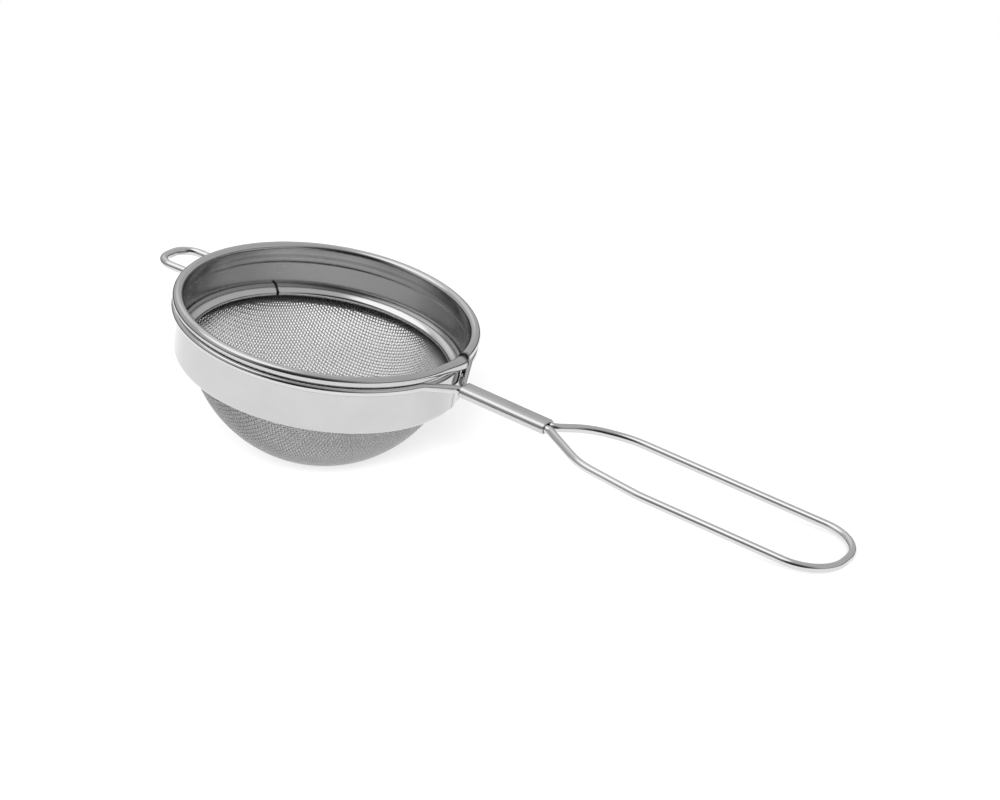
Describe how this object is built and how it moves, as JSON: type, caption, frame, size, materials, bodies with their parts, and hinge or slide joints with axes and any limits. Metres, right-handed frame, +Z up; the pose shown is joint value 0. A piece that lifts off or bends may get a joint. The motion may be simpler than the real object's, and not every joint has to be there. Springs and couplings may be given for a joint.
{
  "type": "tea strainer",
  "caption": "Hand tea strainer: round woven wire bowl in a rolled steel rim, with a bent wire loop handle, a crimped sleeve and a rest ear opposite the handle.",
  "frame": {"origin": "on the table, under the middle of the whole strainer as it lies at rest on the bottom of its bowl and the end of its handle", "axes": "+X from the rest ear towards the handle's end, +Z up from the table; the bowl's own axis leans 13.1 degrees from +Z towards +X"},
  "size_m": [0.1998, 0.08, 0.0504],
  "materials": {
    "band_sheet": "satin",
    "ring_strip": "gloss",
    "woven_cloth": "satin",
    "wire": "polished",
    "sleeve_sheet": "satin"
  },
  "bodies": {
    "root": {"rim_band": "band_sheet", "retaining_ring": "ring_strip", "mesh_bowl": "woven_cloth", "handle_wire": "wire", "sleeve": "sleeve_sheet"}
  },
  "joints": []
}
